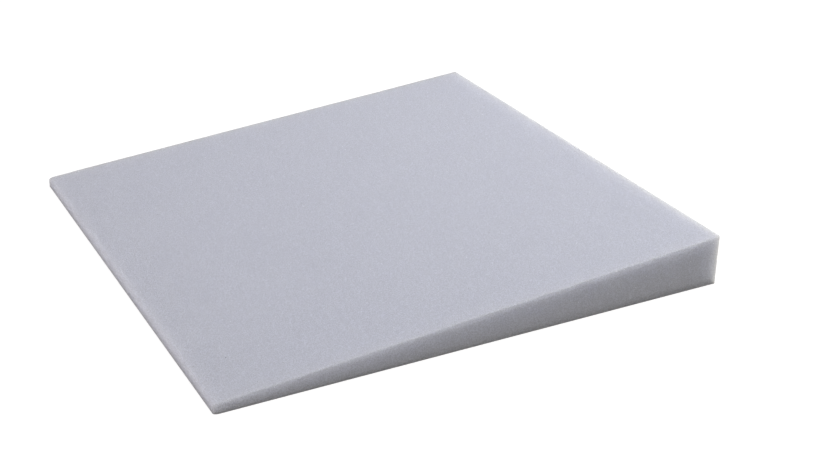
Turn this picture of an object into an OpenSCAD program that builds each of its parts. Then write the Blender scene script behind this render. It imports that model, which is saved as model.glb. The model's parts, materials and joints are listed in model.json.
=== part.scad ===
// Tapered acoustic foam panel: one block of open-cell foam with a flat back, cut on a slope
// so that it rises from a thin edge at -X to a thick edge at +X.
// Millimetres. The origin is the centre of the flat back, which lies in the XY plane.

/* [Panel] */
// Length from the thin edge to the thick edge
panel_length = 500; // [300:10:800]
// Width along the thin and thick edges
panel_width = 500; // [300:10:800]
// Thickness at the thin edge
thin_edge = 10; // [6:1:20]
// Thickness at the thick edge
thick_edge = 50; // [25:1:100]

/* [Edges] */
// Radius that the cut edges of the soft foam ease to
edge_radius = 1.5; // [0.5:0.25:2.5]

/* [Hidden] */

// Steps round a full circle of the eased edge
edge_facets = 32;
// Rise of the sloped face for each millimetre of length
slope = (thick_edge - thin_edge) / panel_length;
// How far below the sloped face, straight down, a ball that touches it has its centre
ball_depth = edge_radius * sqrt(1 + slope * slope);

// Height of the sloped face above the back, at a distance x from the origin
function face_height(x) = thin_edge + slope * (x + panel_length / 2);

// A ball in one corner, whose flats touch the faces that meet there
module corner_ball(x, y, z) {
    translate([x, y, z])
        sphere(r = edge_radius / cos(180 / edge_facets), $fn = edge_facets);
}

// The two balls, low and high, that ease one upright corner of the panel
module upright_corner(x, y) {
    corner_ball(x, y, edge_radius);
    corner_ball(x, y, face_height(x) - ball_depth);
}

// The whole panel, as the skin drawn round the balls in its eight corners
module foam_panel() {
    corner_x = panel_length / 2 - edge_radius;
    corner_y = panel_width / 2 - edge_radius;
    color([0.75, 0.76, 0.80])
        hull()
            for (x = [-corner_x, corner_x], y = [-corner_y, corner_y])
                upright_corner(x, y);
}

foam_panel();
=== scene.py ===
import json
import math

import bpy
from mathutils import Matrix, Vector, noise


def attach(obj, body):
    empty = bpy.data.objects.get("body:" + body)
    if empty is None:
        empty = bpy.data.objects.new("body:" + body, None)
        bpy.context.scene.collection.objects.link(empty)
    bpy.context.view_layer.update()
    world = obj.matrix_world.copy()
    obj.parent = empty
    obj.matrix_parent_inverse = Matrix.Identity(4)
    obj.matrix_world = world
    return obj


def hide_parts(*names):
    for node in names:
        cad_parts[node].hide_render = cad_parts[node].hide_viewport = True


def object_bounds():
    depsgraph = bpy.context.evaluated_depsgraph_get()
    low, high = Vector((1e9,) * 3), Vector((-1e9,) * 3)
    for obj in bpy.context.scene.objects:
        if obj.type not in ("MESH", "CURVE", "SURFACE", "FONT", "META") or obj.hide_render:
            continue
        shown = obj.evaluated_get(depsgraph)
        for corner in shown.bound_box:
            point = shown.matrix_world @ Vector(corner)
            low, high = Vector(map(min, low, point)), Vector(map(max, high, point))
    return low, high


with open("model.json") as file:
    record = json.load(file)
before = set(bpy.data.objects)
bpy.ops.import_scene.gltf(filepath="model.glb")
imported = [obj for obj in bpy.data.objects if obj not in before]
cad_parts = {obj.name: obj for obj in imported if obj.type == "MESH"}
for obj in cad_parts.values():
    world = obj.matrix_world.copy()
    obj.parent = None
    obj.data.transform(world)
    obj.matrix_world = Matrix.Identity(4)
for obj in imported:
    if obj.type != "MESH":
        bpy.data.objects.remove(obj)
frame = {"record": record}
cadLow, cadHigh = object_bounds()
print("frame loaded: panel of", [round(1000 * side, 1) for side in cadHigh - cadLow], "mm")

# The panel stands on z = 0 with its thin edge at -X and its thick edge at +X, and all lengths are metres.
mm = 0.001


def fromHex(code):
    # sRGB hex such as "BFC1CB" to the linear colour that the shaders take
    channels = [int(code[i:i + 2], 16) / 255 for i in (0, 2, 4)]
    linear = [c / 12.92 if c <= 0.04045 else ((c + 0.055) / 1.055) ** 2.4 for c in channels]
    return (*linear, 1.0)


def addNode(owner, kind, settings=None, links=None):
    # One shader node of a material or of the world. Settings name a socket (by name or number) or a
    # property, and links name the sockets that feed it.
    node = owner.node_tree.nodes.new("ShaderNode" + kind)
    for name, value in (settings or {}).items():
        if isinstance(name, int) or name in node.inputs:
            node.inputs[name].default_value = value
        else:
            setattr(node, name, value)
    for name, source in (links or {}).items():
        owner.node_tree.links.new(source, node.inputs[name])
    return node


def emptyMaterial(name):
    material = bpy.data.materials.new(name)
    material.use_nodes = True
    material.node_tree.nodes.clear()
    return material


# Foam material

foam = {
    "colour": "C0C3D0",          # cool light grey, dyed through
    "poreColour": "A6A8B3",      # the same foam in the shade inside a cell
    "cellSize": 1.0 * mm,        # real cells are 0.6 to 1 mm, drawn at the coarse end so that they show
    "cellDepth": 0.35 * mm,
    "cellTone": 0.37,            # how far one cell's tone may lie from the middle tone
    "poreEnd": 0.1,              # share of a cell's size, from its middle, that is all pore
    "rimStart": 0.75,            # share of a cell's size from which on it is all rim
    "pitAndGlintSpacing": 8.0 * mm,     # now and then a cell is torn open, in painted shade, or the end of a strut catches light, as a painted glint
    "pitAndGlintSize": 1.1 * mm,
    "pitShare": 0.5,             # half of these dots are pits in painted shade, the others strut ends with a painted glint
    # painted shade inside a torn-open cell
    "pitShadeColour": "85878F",
    # painted glint on a strut end that catches light
    "strutGlintColour": "E8EAF2",
    "speckPlace": Vector((-216.2, -190.6, 12.7)) * mm,  # one dark fleck on the slope, by its low corner
    "speckSize": 1.5 * mm,
    "speckColour": "303135",
    "lightDepth": 40.0 * mm,     # how far light spreads inside the foam
    "roughness": 0.92,
    "relief": 0.5,               # strength of the bump that the cells' depth gives
    "ior": 1.5,                  # of solid polyurethane
    "gloss": 0.15,               # the cut struts are too thin to shine
}


def openCellPolyurethaneFoamWireCut():
    # Open-cell polyurethane, cut with a hot wire: hardly any gloss, a fine even grain of cut cells,
    # and edges that glow a little because light sinks in and comes out round the corner.
    material = emptyMaterial("open-cell polyurethane foam, wire-cut")
    place = addNode(material, "TexCoord").outputs["Object"]
    cells = addNode(material, "TexVoronoi", {"Scale": 1 / foam["cellSize"]}, {"Vector": place})
    rims = addNode(material, "MapRange", {"From Min": foam["poreEnd"], "From Max": foam["rimStart"]},
                   {"Value": cells.outputs["Distance"]})
    # each cell has its own tone, because each is cut at its own height
    tone = addNode(material, "MapRange", {"To Min": 1 - foam["cellTone"], "To Max": 1 + foam["cellTone"]},
                   {"Value": cells.outputs["Color"]})
    grain = addNode(material, "Math", {"operation": "MULTIPLY"},
                    {0: rims.outputs["Result"], 1: tone.outputs["Result"]})
    surface = addNode(material, "MixRGB", {
        "Color1": fromHex(foam["poreColour"]),
        "Color2": fromHex(foam["colour"]),
    }, {"Fac": grain.outputs["Value"]})
    # sparse soft dots, each either a torn-open cell in painted shade or a strut end with a painted glint
    pitsAndGlints = addNode(material, "TexVoronoi", {"Scale": 1 / foam["pitAndGlintSpacing"]}, {"Vector": place})
    pitAndGlintRadius = foam["pitAndGlintSize"] / 2 / foam["pitAndGlintSpacing"]
    pitOrGlint = addNode(material, "MapRange", {"From Min": pitAndGlintRadius, "From Max": pitAndGlintRadius / 2},
                   {"Value": pitsAndGlints.outputs["Distance"]})
    isGlint = addNode(material, "Math", {"operation": "GREATER_THAN", 1: foam["pitShare"]},
                      {0: pitsAndGlints.outputs["Color"]})
    # dark painted shade for a pit, light painted glint for a strut end
    pitShadeOrGlintColour = addNode(material, "MixRGB", {
        "Color1": fromHex(foam["pitShadeColour"]),
        "Color2": fromHex(foam["strutGlintColour"]),
    }, {"Fac": isGlint.outputs["Value"]})
    surface = addNode(material, "MixRGB", None, {
        "Fac": pitOrGlint.outputs["Result"],
        "Color1": surface.outputs["Color"],
        "Color2": pitShadeOrGlintColour.outputs["Color"],
    })
    # the one dark fleck
    fromSpeck = addNode(material, "VectorMath", {"operation": "DISTANCE", 1: foam["speckPlace"]},
                        {0: place})
    speckRadius = foam["speckSize"] / 2
    speck = addNode(material, "MapRange", {"From Min": speckRadius, "From Max": speckRadius / 2},
                    {"Value": fromSpeck.outputs["Value"]})
    surface = addNode(material, "MixRGB", {"Color2": fromHex(foam["speckColour"])},
                      {"Fac": speck.outputs["Result"], "Color1": surface.outputs["Color"]})
    relief = addNode(material, "Bump", {"Strength": foam["relief"], "Distance": foam["cellDepth"]},
                     {"Height": rims.outputs["Result"]})
    shader = addNode(material, "BsdfPrincipled", {
        "Roughness": foam["roughness"],
        "IOR": foam["ior"],
        "Specular IOR Level": foam["gloss"],
        "Subsurface Weight": 1.0,
        "Subsurface Radius": (1.0, 1.0, 1.0),  # red, green and blue spread alike in grey foam
        "Subsurface Scale": foam["lightDepth"],
    }, {"Base Color": surface.outputs["Color"], "Normal": relief.outputs["Normal"]})
    addNode(material, "OutputMaterial", None, {"Surface": shader.outputs["BSDF"]})
    return material


# Foam panel

panel = {
    "backEasing": 0.4 * mm,      # how far the flat back's edges round upwards
    "thickEasing": Vector((1.1, 2.5, 1.0)) * mm,  # how far edges round along X, Y and Z
    "thinEasing": Vector((5.5, 2.5, 3.2)) * mm,   # the same at the thin end, which is softer
    "thinRun": 30.0 * mm,        # how far in from the thin end its softer edges fade out
    "gridStep": 6.0 * mm,        # spacing of the mesh lines across the flat faces
    "easingSteps": 4,            # mesh lines over each eighth of a turn round an edge
    "weldSteps": 1e7,            # steps in a metre to which points are rounded when they are joined
    "waveHeight": 0.06 * mm,     # the wire's slight wander over the faces
    "waveLength": 45.0 * mm,
}


def panelShape():
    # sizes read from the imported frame: its box, and the middle heights of its two end faces
    mounts = {mount["name"]: mount["pos_m"] for mount in frame["record"]["mounts"]}
    length, width = cadHigh.x - cadLow.x, cadHigh.y - cadLow.y
    thinEdge, thickEdge = 2 * mounts["thin_end"][2], 2 * mounts["thick_end"][2]
    return length, width, thinEdge, thickEdge


def easeInOut(share):
    # from 0 to 1 with a soft start and a soft end
    return share * share * (3 - 2 * share)


def axisLines(span, step):
    # mesh lines along one axis, as pairs: where the line is across the flat (-1 to 1), and how far it
    # turns into the eased edge beside the flat (-1 to 1, where 1 is the eighth of a turn of this face)
    turns = panel["easingSteps"]
    flats = max(2, round(span / step))
    before = [(-1.0, turn / turns - 1.0) for turn in range(turns)]
    across = [(2 * i / flats - 1, 0.0) for i in range(flats + 1)]
    after = [(1.0, (turn + 1) / turns) for turn in range(turns)]
    return before + across + after


def buildPanel():
    length, width, thinEdge, thickEdge = panelShape()
    slope = (thickEdge - thinEdge) / length
    slopeNormal = Vector((-slope, 0, 1)).normalized()
    normals = {(0, 1): Vector((1, 0, 0)), (0, -1): Vector((-1, 0, 0)), (1, 1): Vector((0, 1, 0)),
               (1, -1): Vector((0, -1, 0)), (2, 1): slopeNormal, (2, -1): Vector((0, 0, -1))}
    lines = [axisLines(length, panel["gridStep"]), axisLines(width, panel["gridStep"]),
             axisLines(thickEdge, panel["gridStep"])]
    thinSide, thickSide = panel["thinEasing"], panel["thickEasing"]

    def onSkin(axis, side, a, b):
        # one point of the skin, on the face that looks along an axis, for mesh lines a and b across it
        others = [i for i in range(3) if i != axis]
        flat, turn = [0.0] * 3, [0.0] * 3
        flat[axis], turn[axis] = side, side
        for i, (across, turned) in zip(others, (a, b)):
            flat[i], turn[i] = across, math.tan(turned * math.pi / 4)
        outward = Vector()
        for i in range(3):
            if turn[i]:
                outward += abs(turn[i]) * normals[i, 1 if turn[i] > 0 else -1]
        outward.normalize()
        # the easing changes from the thin end's to the thick end's, and from the back to the sloped face
        share = min(1.0, (flat[0] + 1) / 2 * length / panel["thinRun"])
        easing = thinSide.lerp(thickSide, easeInOut(share))
        x = -length / 2 + thinSide.x + (flat[0] + 1) / 2 * (length - thinSide.x - thickSide.x)
        y = flat[1] * (width / 2 - easing.y)
        top = thinEdge + slope * (x + easing.x * slopeNormal.x + length / 2) - easing.z * slopeNormal.z
        z = panel["backEasing"] + (flat[2] + 1) / 2 * (top - panel["backEasing"])
        easing.z = panel["backEasing"] + (flat[2] + 1) / 2 * (easing.z - panel["backEasing"])
        return Vector((x, y, z)) + Vector(e * o for e, o in zip(easing, outward)), outward

    points, faces, index = [], [], {}

    def pointNumber(axis, side, a, b):
        place, outward = onSkin(axis, side, a, b)
        key = tuple(round(c * panel["weldSteps"]) for c in place)
        if key not in index:
            index[key] = len(points)
            # the back stays flat, and the other faces wander
            wave = noise.noise(place / panel["waveLength"]) * panel["waveHeight"]
            points.append(place + outward * wave if place.z > panel["backEasing"] else place)
        return index[key]

    for axis in range(3):
        others = [i for i in range(3) if i != axis]
        for side in (-1, 1):
            grid = [[pointNumber(axis, side, a, b) for b in lines[others[1]]] for a in lines[others[0]]]
            for i in range(len(grid) - 1):
                for j in range(len(grid[0]) - 1):
                    corners = [grid[i][j], grid[i + 1][j], grid[i + 1][j + 1], grid[i][j + 1]]
                    # the loop runs anticlockwise seen from outside
                    outside = (side > 0) != (axis == 1)
                    faces.append(corners if outside else corners[::-1])

    mesh = bpy.data.meshes.new("foamPanel")
    mesh.from_pydata([tuple(p) for p in points], [], faces)
    mesh.validate()
    mesh.shade_smooth()
    built = bpy.data.objects.new("foam_wedge", mesh)
    bpy.context.scene.collection.objects.link(built)
    mesh.materials.append(openCellPolyurethaneFoamWireCut())
    print("foam panel built:", len(points), "points,", len(faces), "faces")
    return built


foamWedge = buildPanel()
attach(foamWedge, "root")
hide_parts("foam_panel")

# Camera

camera = {
    "place": (-0.5657, -1.1781, 0.6392),
    "turn": -26.456,     # degrees from +Y, towards +X
    "dip": 25.996,       # degrees below level
    "roll": -0.062,      # degrees about the line of sight
    "lens": 62.91,       # focal length in millimetres, for a sensor of the next width
    "sensor": 36.0,
    "shiftX": 0.0433,
    "shiftY": -0.0085,
    "clipNear": 0.01,
    "clipFar": 50.0,
}


def placeCamera():
    data = bpy.data.cameras.new("camera")
    data.lens, data.sensor_width = camera["lens"], camera["sensor"]
    data.shift_x, data.shift_y = camera["shiftX"], camera["shiftY"]
    data.clip_start, data.clip_end = camera["clipNear"], camera["clipFar"]
    eye = bpy.data.objects.new("camera", data)
    bpy.context.scene.collection.objects.link(eye)
    turn = Matrix.Rotation(math.radians(camera["turn"]), 4, "Z")
    dip = Matrix.Rotation(math.radians(90 - camera["dip"]), 4, "X")
    roll = Matrix.Rotation(math.radians(camera["roll"]), 4, "Z")
    eye.matrix_world = Matrix.Translation(camera["place"]) @ turn @ dip @ roll
    bpy.context.scene.camera = eye
    print("camera placed")


placeCamera()

# Lamps, room and floor

lamps = {
    # place, side of its square in metres, power in watts and colour
    "thickEndSoftbox": {"place": (0.98, 0.0, 1.54), "size": 0.9, "power": 16.6, "colour": "FDFFFF"},
    "overheadSoftbox": {"place": (0.0, 0.0, 1.82), "size": 0.9, "power": 8.0, "colour": "F6F3FF"},
    "thinEndFill": {"place": (-1.79, 0.0, 0.18), "size": 0.25, "power": 8.0, "colour": "FBF6FF"},
    "frontFill": {"place": (0.58, -1.0, 1.40), "size": 0.9, "power": 3.2, "colour": "FDFFF0"},
}
studio = {
    "lampAim": Vector((0, 0, 0.02)),  # all lamps look at this point inside the panel
    "floorSpan": 14.0,
    "roomGlow": 0.318,        # the dim, even light that the room's walls send from all sides
    "roomColour": "FFFAF3",
    "floorDrop": 0.1 * mm,    # the floor lies this far under the panel's flat back
    "paperColour": "CBC8C1",  # what the panel sees of the paper
    "tableGlow": 0.064,       # and of the light that the table sends up through it
    "tableColour": "FFFBFA",
    "shadowColour": "6C6C6C",  # the part of the floor's white that a shadow can take away
    "paperGlow": 0.948,       # the part that no shadow reaches
}


def placeLamps():
    for name, lamp in lamps.items():
        data = bpy.data.lights.new(name, "AREA")
        data.shape, data.size = "SQUARE", lamp["size"]
        data.energy, data.color = lamp["power"], fromHex(lamp["colour"])[:3]
        lit = bpy.data.objects.new(name, data)
        bpy.context.scene.collection.objects.link(lit)
        lit.location = lamp["place"]
        lit.rotation_euler = (studio["lampAim"] - lit.location).to_track_quat("-Z", "Y").to_euler()
        lit.visible_camera = False
    print("lamps placed:", len(lamps))


def seenByEye(owner):
    # 1 for rays that show the background to the camera, straight, by gloss or through something clear,
    # and 0 for rays that light the panel
    path = addNode(owner, "LightPath")
    seen = addNode(owner, "Math", {"operation": "MAXIMUM"},
                   {0: path.outputs["Is Camera Ray"], 1: path.outputs["Is Glossy Ray"]})
    seen = addNode(owner, "Math", {"operation": "MAXIMUM"},
                   {0: seen.outputs["Value"], 1: path.outputs["Is Transmission Ray"]})
    return seen.outputs["Value"]


def lightRoom():
    world = bpy.data.worlds.new("white room")
    bpy.context.scene.world = world
    world.use_nodes = True
    world.node_tree.nodes.clear()
    # the room is white to the eye and sheds only a dim, even light of its own
    dim = addNode(world, "Background", {
        "Color": fromHex(studio["roomColour"]),
        "Strength": studio["roomGlow"],
    })
    white = addNode(world, "Background", {"Color": (1, 1, 1, 1), "Strength": 1.0})
    room = addNode(world, "MixShader", None, {
        "Fac": seenByEye(world),
        1: dim.outputs["Background"],
        2: white.outputs["Background"],
    })
    addNode(world, "OutputWorld", None, {"Surface": room.outputs["Shader"]})
    print("room lit")


def whiteBackgroundPaper():
    # Matt seamless paper on a lit table: white all over, with a faint soft shadow at the panel's foot.
    material = emptyMaterial("seamless background paper, matt")
    plain = addNode(material, "BsdfDiffuse", {"Color": fromHex(studio["paperColour"])})
    table = addNode(material, "Emission", {
        "Color": fromHex(studio["tableColour"]),
        "Strength": studio["tableGlow"],
    })
    below = addNode(material, "AddShader", None, {0: plain.outputs["BSDF"], 1: table.outputs["Emission"]})
    faint = addNode(material, "BsdfDiffuse", {"Color": fromHex(studio["shadowColour"])})
    glow = addNode(material, "Emission", {"Color": (1, 1, 1, 1), "Strength": studio["paperGlow"]})
    white = addNode(material, "AddShader", None, {0: faint.outputs["BSDF"], 1: glow.outputs["Emission"]})
    paper = addNode(material, "MixShader", None,
                    {"Fac": seenByEye(material), 1: below.outputs["Shader"], 2: white.outputs["Shader"]})
    addNode(material, "OutputMaterial", None, {"Surface": paper.outputs["Shader"]})
    return material


def layFloor():
    half = studio["floorSpan"] / 2
    mesh = bpy.data.meshes.new("floor")
    corners = [(-half, -half), (half, -half), (half, half), (-half, half)]
    mesh.from_pydata([(x, y, -studio["floorDrop"]) for x, y in corners], [], [(0, 1, 2, 3)])
    mesh.materials.append(whiteBackgroundPaper())
    floor = bpy.data.objects.new("floor", mesh)
    bpy.context.scene.collection.objects.link(floor)
    print("floor laid")


placeLamps()
lightRoom()
layFloor()

bpy.context.scene.view_settings.view_transform = "Standard"
